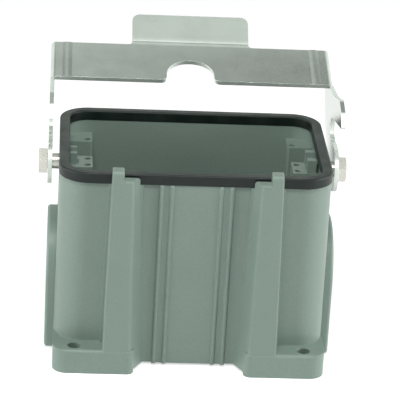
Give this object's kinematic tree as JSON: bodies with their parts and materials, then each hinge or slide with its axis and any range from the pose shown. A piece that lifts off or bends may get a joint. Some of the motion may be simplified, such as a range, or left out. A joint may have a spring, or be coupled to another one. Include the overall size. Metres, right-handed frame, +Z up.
{
  "type": "heavy duty rectangular connector",
  "caption": "Surface-mounting die-cast housing for rectangular connector inserts, with a sealing ring, side cable entries and one swinging stainless locking lever.",
  "frame": {"origin": "middle of the base, on the surface that the housing is fixed to", "axes": "+Z up out of the base, +X along the long side, -Y towards the front with the two fingers"},
  "size_m": [0.1518, 0.1393, 0.1396],
  "materials": {
    "casting": "die-cast aluminium under a grey-green powder coat with a fine orange peel",
    "seal": "matt black moulded rubber",
    "lever": "rolled stainless sheet with a fine grain",
    "bush": "turned steel",
    "bolt": "zinc plated steel"
  },
  "bodies": {
    "base": {"housing": "casting", "sealing_ring": "seal", "pivot_bush_left": "bush", "pivot_bush_right": "bush", "pivot_bolt_left": "bolt", "pivot_bolt_right": "bolt"},
    "lever": {"locking_lever": "lever"}
  },
  "joints": [
    {"name": "lever_swing", "type": "hinge", "parent": "base", "child": "lever", "pos_m": [0, 0, 0.09], "axis": [1, 0, 0], "range_deg": [-26, 112]}
  ]
}
